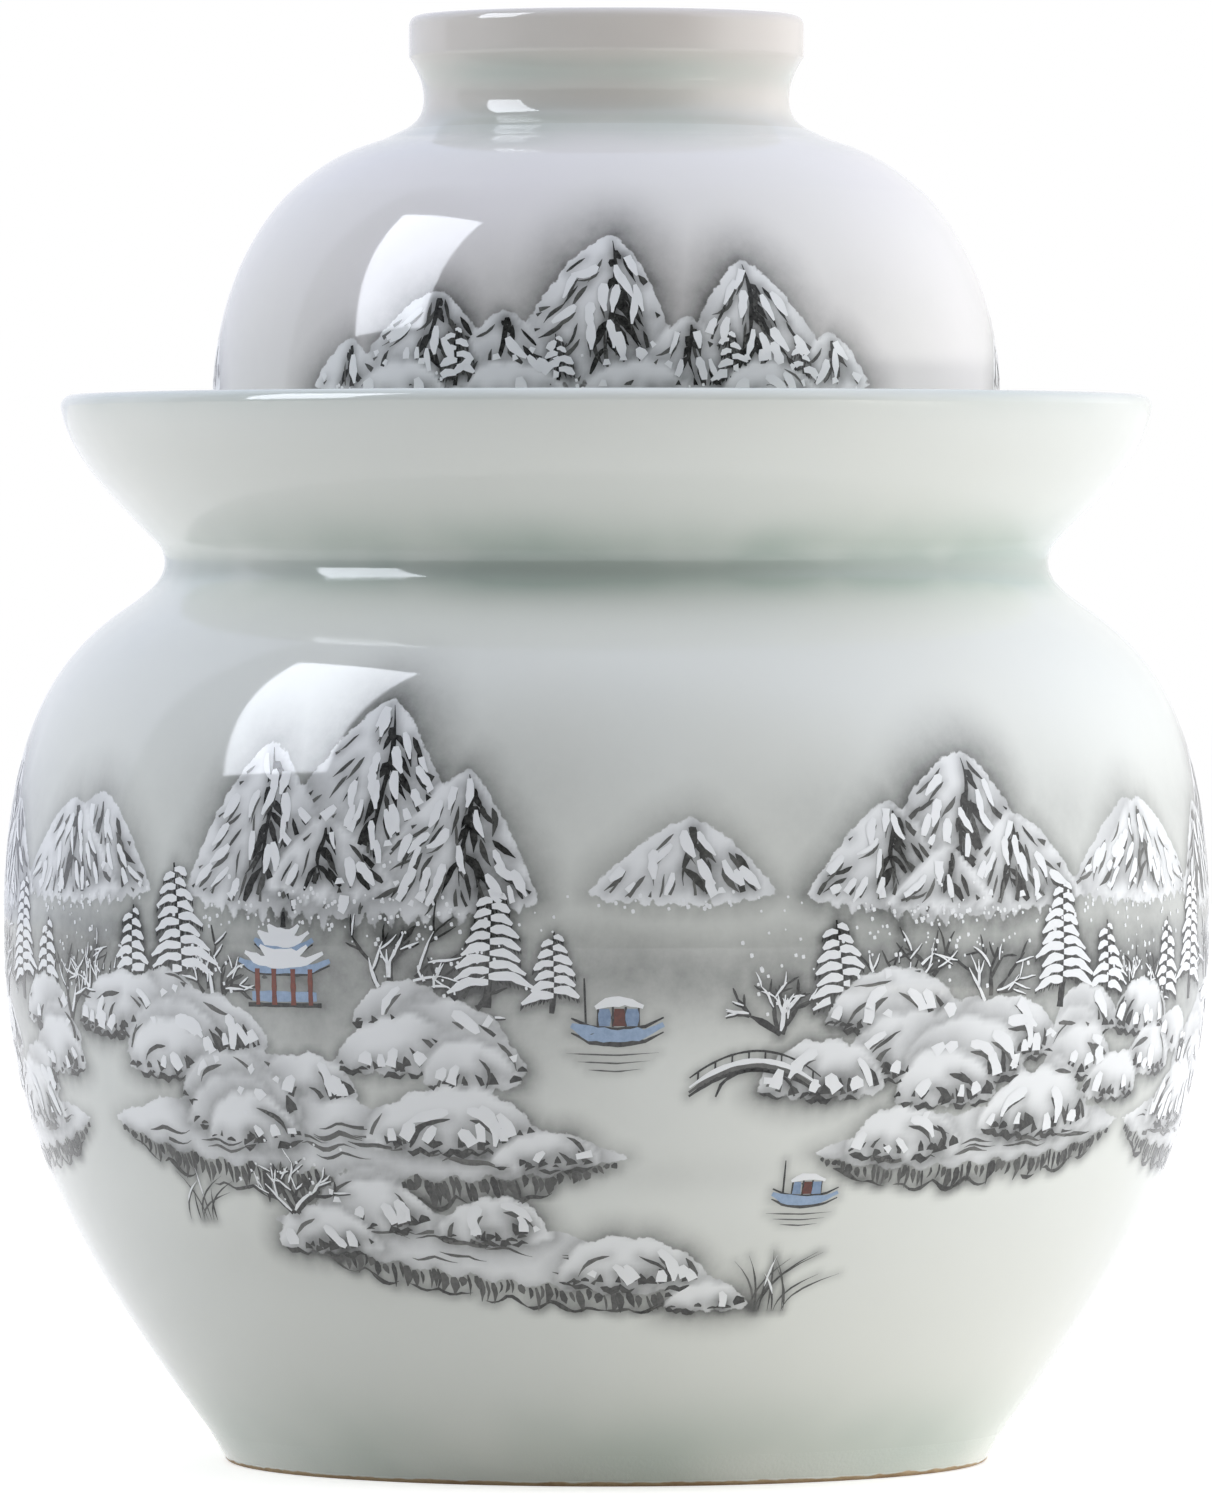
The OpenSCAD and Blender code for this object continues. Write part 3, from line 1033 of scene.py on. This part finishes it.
def branch(spot, start, angle, length, width, forks):
    """A bare branch that forks, often with a line of snow along its upper side."""
    uniform = spot.uniform
    bends = angle + np.cumsum(uniform(-0.22, 0.22, 4))
    steps = np.stack([np.cos(bends), np.sin(bends)], 1) * length / 4
    path = np.concatenate([[start], start + np.cumsum(steps, axis=0)])
    spot.stroke(path, width, taper=(0.9, 0.35), tone=uniform(0, 0.25))
    if uniform() < 0.45:
        spot.stroke(path + np.array([-0.4, 1]) * 0.55 * width, 0.6 * width + 0.1, "snow", taper=(0.5, 0.3))
    if forks:
        for k in range(spot.random.integers(2, 4)):
            turn = uniform(0.3, 0.75) * (1 if k % 2 else -1)
            joint = path[-1 - spot.random.integers(0, 3)]
            branch(spot, joint, bends[-1] + turn, length * uniform(0.55, 0.8), 0.68 * width, forks - 1)


def shrub(spot, height, stems):
    """Bare stems that fan out from one foot."""
    uniform = spot.uniform
    for k in range(stems):
        angle = math.pi / 2 + 0.9 * ((k + 0.5) / stems - 0.5) * 2 * uniform(0.8, 1.15)
        foot = np.array([uniform(-0.8, 0.8), 0.0])
        branch(spot, foot, angle, height * uniform(0.38, 0.5), uniform(0.8, 1.2), 2)
    flecks(spot.shifted(0, 0.7 * height), 0.8 * height, 0.5 * height, round(1.5 * height))


def pine(spot, height, lean=0.0):
    """A pine under snow: tiers of white pads with a fringe of needles under each."""
    uniform = spot.uniform
    t = np.linspace(0, 1, 6)
    trunk = np.stack([lean * height * t * t + 0.4 * np.sin(5 * t), height * t], 1)
    spot.stroke(trunk, 0.07 * height, taper=(1, 0.25))
    tiers = max(3, round(height / 2.7))
    for k in range(2 * tiers):
        share = 0.2 + 0.78 * (k // 2 + 0.5 * (k % 2)) / tiers
        foot = (np.interp(share, t, trunk[:, 0]), height * share)
        long = height * (0.42 - 0.33 * share) * uniform(0.8, 1.2)
        out = 1 if k % 2 else -1
        pad = foot + line((0, 0.3), (0.5 * out * long, 0.45), (out * long, -0.22 * long))
        count = max(4, round(long * 2.2))
        for j in range(count):
            s = (j + uniform()) / count
            x = foot[0] + out * long * s
            y = foot[1] - 0.22 * long * s * s
            needle = ((x, y), (x + 0.35 * out, y - uniform(0.7, 1.5)))
            spot.stroke(needle, uniform(0.28, 0.5), tone=uniform(0, 0.3))
        spot.stroke(pad - (0, 0.25), 0.5, tone=0.1)
        spot.stroke(pad, min(1.5, 0.32 * long + 0.35), "snow", taper=(0.6, 0.35))


def reeds(spot, height, count):
    """Thin dry stems that bow over."""
    uniform = spot.uniform
    t = np.linspace(0, 1, 6)
    for _ in range(count):
        x = uniform(-0.35, 0.35) * height
        bow = uniform(-0.5, 0.9) * height
        tall = height * uniform(0.6, 1.1)
        stem = np.stack([x + bow * t * t, tall * t * (1 - 0.12 * t)], 1)
        spot.stroke(stem, 0.38, tone=uniform(0.1, 0.6))
        if uniform() < 0.4:
            spot.stroke(stem[2:] + (0, 0.4), 0.4, "snow")


def dabs(spot, scale, across, up, count, width):
    """A few dark touches of the brush in a box, all in units of a scale."""
    uniform = spot.uniform
    brush = spot.scaled(scale)
    for _ in range(count):
        at = (uniform(*across), uniform(*up))
        touch = at + line((0, 0), (0.6, 0.1), (1.1, -0.1)) * uniform(1, 2.2) * width
        brush(touch, width * uniform(0.6, 1.2), tone=uniform(0, 0.5), soft=0.15)


def boat(spot, long):
    """A small blue boat with a cabin under snow, which has a rust door."""
    brush = spot.scaled(long)
    hull = line((-0.5, 0.11), (-0.3, 0.02), (0, -0.01), (0.3, 0.02), (0.5, 0.12))
    brush(hull - (0, 0.085), 0.07, tone=0.1, taper=0.2)
    brush(hull, 0.15, "blue", taper=0.35)
    brush(hull + (0, 0.075), 0.035, taper=0.6)
    for x, kind in ((-0.14, "blue"), (0.02, "rust"), (0.16, "blue")):
        brush(((x, 0.1), (x, 0.29)), 0.13, kind, 0.35, (1, 0.9))
    for x in (-0.21, -0.05, 0.09, 0.23):
        brush(((x, 0.09), (x, 0.31)), 0.024, taper=1)
    dabs(spot, long, (-0.4, 0.4), (-0.03, 0.04), 5, 0.05)
    dabs(spot, long, (-0.17, 0.2), (0.14, 0.26), 7, 0.035)
    brush(((-0.24, 0.3), (-0.1, 0.365), (0.1, 0.37), (0.28, 0.31)), 0.1, "snow", taper=0.4)
    brush(((-0.34, 0.08), (-0.36, 0.62)), 0.026, taper=(1, 0.6))
    for k in range(3):
        y = -0.2 - 0.09 * k
        brush(((-0.55 + 0.12 * k, y), (0, y - 0.02), (0.45 - 0.1 * k, y + 0.01)), 0.3 / long, tone=0.55)


def pavilion(spot, wide):
    """An open pavilion: rust posts, a blue rail and eave, and snow on its two curved roofs."""
    brush = spot.scaled(wide)
    for x in (-0.36, -0.13, 0.13, 0.36):
        brush(((x, 0), (x, 0.42)), 0.065, "rust", taper=1)
    brush(((-0.44, 0.1), (0.44, 0.1)), 0.12, "blue", taper=1)
    brush(((-0.5, 0), (0.5, 0)), 0.05, taper=1)
    dabs(spot, wide, (-0.4, 0.36), (0.06, 0.36), 7, 0.045)
    for base, half in ((0.42, 0.62), (0.66, 0.4)):
        eave = line((-half, 0.1), (-0.6 * half, 0), (0, -0.01), (0.6 * half, 0), (half, 0.1)) + (0, base)
        brush(eave, 0.1, "blue", taper=(0.5, 0.6))
        brush(eave - (0, 0.055), 0.035, taper=0.5)
        for lift, share, thick in ((0.09, 0.86, 0.14), (0.17, 0.52, 0.13)):
            brush(eave * (share, 1) + (0, lift), thick, "snow", taper=0.3)
    brush(((0, 0.9), (0, 1.08)), 0.07, taper=(1, 0.4))


def bridge(spot, long):
    """An arched footbridge with snow on its deck."""
    t = np.linspace(-1, 1, 17)
    deck = np.stack([0.5 * long * t, 0.2 * long * (1 - t * t)], 1)
    under = np.stack([0.3 * long * t, -0.06 * long + 0.2 * long * np.sqrt(np.maximum(1 - t * t, 0))], 1)
    rail = (0, 0.085 * long)
    spot.stroke(deck - (0, 0.055 * long), 0.8, taper=0.6)
    spot.stroke(deck - (0, 0.025 * long), 0.8, tone=0.5, taper=0.6)
    spot.stroke(under, 0.6, taper=0.6)
    for post in deck[1:-1:2]:
        spot.stroke((post, post + rail), 0.35, taper=1)
    spot.stroke(deck + rail, 0.4, taper=0.6)
    spot.stroke(deck + (0, 0.012 * long), 0.95, "snow", taper=0.4)


def leaning_pine(spot, height):
    pine(spot, height, spot.uniform(-0.12, 0.12))


def wild_shrub(spot, height):
    shrub(spot, height, spot.random.integers(3, 6))


def draw(place, *rows):
    """Draws one thing after another. A row has a motif, its degrees, its height on the jar and its sizes."""
    for motif, degrees, z, *sizes in rows:
        motif(place(degrees, z), *sizes)


def winter_river(place):
    """One third of the way round the belly: peaks above mist, and a river with snowy banks below them."""
    cloud = Spot.cloud
    draw(
        place,
        (cloud, -24, 128, 40, 17, 0.34), (cloud, 35, 122, 40, 13, 0.4), (cloud, -34, 99, 34, 10, 0.5),
        (cloud, -17, 97, 26, 9, 0.46), (cloud, -3, 100, 22, 9, 0.42), (cloud, 10, 96, 24, 8, 0.5),
        (cloud, 26, 99, 26, 10, 0.44), (cloud, 42, 98, 28, 9, 0.52), (cloud, -57, 103, 28, 10, 0.42),
        (cloud, 60, 99, 28, 10, 0.42), (cloud, -36, 89, 38, 11, 0.4), (cloud, -14, 84, 26, 9, 0.3),
        (cloud, 37, 86, 38, 11, 0.42), (cloud, -30, 68, 48, 9, 0.28), (cloud, -2, 60, 40, 4, 0.12),
        (cloud, -14, 44, 44, 8, 0.2),
        (peak, -57, 112, 20, 18, 0.1, 0.35, 0.45), (peak, 7, 112, 18, 14, 0.1, 0.35, 0.45),
        (peak, 58, 112, 20, 17, 0.1, 0.35, 0.45), (massif, -24, 112, 40, 37), (massif, 34, 111, 35, 27),
        (leaning_pine, -50, 90, 19), (leaning_pine, -43, 92, 25), (leaning_pine, -11, 91, 22),
        (leaning_pine, -5, 90, 15), (leaning_pine, 22, 88, 19), (leaning_pine, 47, 90, 24),
        (leaning_pine, 54, 89, 17),
        (wild_shrub, -56, 88, 18), (wild_shrub, -39, 90, 14), (wild_shrub, -20, 91, 22),
        (wild_shrub, -14, 88, 15), (wild_shrub, 16, 86, 15), (wild_shrub, 29, 88, 22),
        (wild_shrub, 38, 90, 19), (wild_shrub, 59, 86, 17),
        (heap, -46, 76, 26, 19, 6), (heap, -19, 74, 24, 20, 7), (heap, 33, 73, 27, 20, 7),
        (heap, 55, 74, 18, 18, 4),
        (pavilion, -31, 91, 16), (bridge, 14, 76, 25), (boat, 1, 86, 17),
        (bank, -27, 66, 56, 12, -0.05), (heap, -38, 66, 24, 11, 4), (rock, -15, 66, 17, 10),
        (rock, -6, 62, 10, 6), (bank, 40, 66, 38, 9, 0.06), (rock, 30, 64, 12, 8),
        (rock, 46, 68, 15, 10), (boat, 20, 55, 13),
        (bank, -12, 45, 44, 10, -0.15), (heap, -20, 46, 20, 10, 4), (shrub, -33, 52, 15, 4),
        (rock, 3, 40, 14, 9), (rock, 11, 35, 8, 5), (reeds, 17, 34, 14, 12), (reeds, -46, 50, 11, 8),
    )


def winter_ridge(place):
    """A low range of peaks with pines before it, for the lid."""
    draw(
        place,
        (Spot.cloud, 0, 216, 44, 13, 0.42),
        (peak, -25, 209, 15, 15, 0.1), (peak, 24, 209, 16, 21, -0.1), (peak, 0, 209, 17, 26, 0.2),
        (peak, -13, 206, 12, 14, 0, 0, 0.6), (peak, 13, 206, 11, 13, 0.1, 0, 0.6),
        (peak, 36, 206, 9, 10, 0, 0, 0.6), (peak, -38, 206, 9, 9, 0, 0, 0.6),
        (pine, -20, 205.5, 12), (pine, -5, 205.5, 10), (pine, 20, 205.5, 11), (pine, 31, 205.5, 9),
        (rock, -29, 204, 10, 6), (rock, -11, 204, 10, 6), (rock, 6, 204, 10, 6), (rock, 26, 204, 10, 6),
    )


def stage():
    """A white floor, which keeps the jar's shadow, under a white sky."""
    half = 4.0
    mesh = bpy.data.meshes.new("floor")
    corners = [(-half, -half, 0), (half, -half, 0), (half, half, 0), (-half, half, 0)]
    mesh.from_pydata(corners, [], [(0, 1, 2, 3)])
    nodes = Nodes(bpy.data.materials.new("floor"))
    path = nodes.node("LightPath", {})
    seen = nodes.math("ADD", path["Is Camera Ray"], path["Is Glossy Ray"])
    seen = nodes.math("ADD", seen, path["Is Transmission Ray"], clamp=True)
    nodes.shade(Base_Color=FLOOR, Roughness=0.9, Emission_Color=WHITE)
    nodes.shade(Emission_Strength=nodes.math("MULTIPLY", seen, FLOOR_GLOW))
    mesh.materials.append(nodes.owner)
    floor = linked("floor", mesh)


def world():
    """A sky that shows white, lights the jar more from the right, and mirrors a grey screen on the left."""
    nodes = Nodes(bpy.data.worlds.new("studio"), "Background")
    bpy.context.scene.world = nodes.owner
    direction = nodes.node("TexCoord", {})["Generated"]
    right, back, top = nodes.node("SeparateXYZ", {"Vector": direction})
    path = nodes.node("LightPath", {})
    front = nodes.math("MULTIPLY_ADD", nodes.step(back, -0.18, -0.78), -FRONT, 1.0)
    soft = nodes.between(nodes.step(right, 0.15, 0.75), SKY_LEFT, SKY_RIGHT)
    soft = nodes.math("MULTIPLY_ADD", nodes.step(top, 0.4, 0.95), SKY_TOP, soft)
    screen = nodes.math("MULTIPLY", nodes.step(right, -0.35, -0.6), nodes.step(back, 0.34, 0.28))
    mirrored = nodes.between(screen, MIRRORED, SCREEN)
    mirrored = nodes.between(nodes.step(right, 0.35, 0.85), mirrored, WALL)
    strength = nodes.math("MULTIPLY", front, nodes.between(path["Is Glossy Ray"], soft, mirrored))
    shown = nodes.math("ADD", path["Is Camera Ray"], path["Is Transmission Ray"], clamp=True)
    tinted = nodes.step(right, 0.3, -0.5)
    tinted = nodes.math("MULTIPLY_ADD", tinted, 0.6, nodes.step(top, 0.1, 0.9), clamp=True)
    tinted = nodes.math("MULTIPLY", tinted, nodes.math("SUBTRACT", 1.0, shown))
    nodes.shade(Color=nodes.mix(tinted, WHITE, TINT), Strength=nodes.between(shown, strength, 1.0))


def window(name, centre, across, up, width, height, power, tint, mirrored):
    """A flat rectangle of light, its middle and its two edge directions given, facing the jar.

    It either shows in the glaze, where it is mirrored, or lights the jar softly.
    """
    lamp = bpy.data.lights.new(name, "AREA")
    lamp.shape = "RECTANGLE"
    lamp.size = width
    lamp.size_y = height
    lamp.energy = power
    lamp.color = tint
    across = Vector(across).normalized()
    up = Vector(up)
    up = (up - up.dot(across) * across).normalized()
    away = across.cross(up)
    centre = Vector(centre)
    if away.dot(centre) < 0:
        across, away = -across, -away
    light = linked(name, lamp)
    light.matrix_world = Matrix.Translation(centre) @ Matrix((across, up, away)).transposed().to_4x4()
    light.visible_diffuse = not mirrored
    light.visible_glossy = mirrored


def lights():
    """A soft window high on the left, its twin that only the glaze mirrors, and a weak fill low right."""
    pane = ((-0.44, 0.88, -0.18), (0.29, 0.38, 0.48), 0.56, 0.92)
    slit = ((0.5, 0.86, 0), (0, 0, 1), 0.5, 0.08)
    window("window_soft", (-1.02, -0.32, 1.0), *pane, 6, (0.88, 0.92, 1.0), False)
    window("window_mirrored", (-1.0, -0.31, 0.98), *pane, 15, (0.88, 0.92, 1.0), True)
    window("fill_right", (0.72, -0.42, 0.05), *slit, 1.2, (1, 1, 1), False)


def camera():
    """The photograph's camera: level with the crease, 2.4 m away, with a long lens."""
    lens = bpy.data.cameras.new("camera")
    lens.lens = 301.4
    lens.sensor_width = 36.0
    eye = linked("camera", lens)
    eye.location = (0.0, -2.418, 0.1714)
    aim = Vector((0.0, 0.0, 0.1367))
    eye.rotation_euler = (aim - eye.location).to_track_quat("-Z", "Y").to_euler()
    bpy.context.scene.camera = eye


bpy.context.scene.view_settings.view_transform = "Standard"
plain = plain_glaze("plain_glaze", GLAZE)
jar_glaze = printed_glaze("printed_glaze", GLAZE)
brushes = (("ink", INK, INK_PALE), ("blue", BLUE, BLUE_DARK), ("rust", RUST, INK), ("snow", SNOW, SNOW))
inks = [brushed(*brush) for brush in brushes]
jar_painting = Painting(Surface(curve(*BELLY), curve(*SHOULDER)), seed=7)
for turn, flip in ((0, 1), (120, -1), (240, 1)):
    winter_river(partial(jar_painting.spot, turn, flip))
lid_foot = line((LID_R, TROUGH_Z + 2))
lid_painting = Painting(Surface(lid_foot, curve(*LID_SIDE), curve(*LID_SHOULDER)), seed=11)
for turn, flip in ((-2, 1), (120, -1), (240, 1)):
    winter_ridge(partial(lid_painting.spot, turn, flip))
jar_painting.build("jar_print", "jar", "printed_glaze", inks)
lid_painting.build("lid_print", "outer_lid", "printed_glaze", inks)
jar_fields = partial(printed, jar_painting, jar_pool, FOOT_H, SHOULDER_Z)
dome_fields = partial(printed, lid_painting, lid_pool, TROUGH_Z + 3, DOME_Z - 3)
foot_ring(bare_porcelain())
lower_body(jar_glaze, jar_fields)
upper_body(jar_glaze, jar_fields)
trough_wall(plain)
mouth_neck(plain)
outer_lid_dome(printed_glaze("lid_printed_glaze", GLAZE_LID), dome_fields)
# The grip ring's darker, warmer glaze is a painted reflection
outer_lid_grip_ring(plain_glaze("ring_glaze_painted_reflection", GLAZE_RING))
inner_lid_plate(plain)
inner_lid_knob(plain)
stage()
world()
lights()
camera()
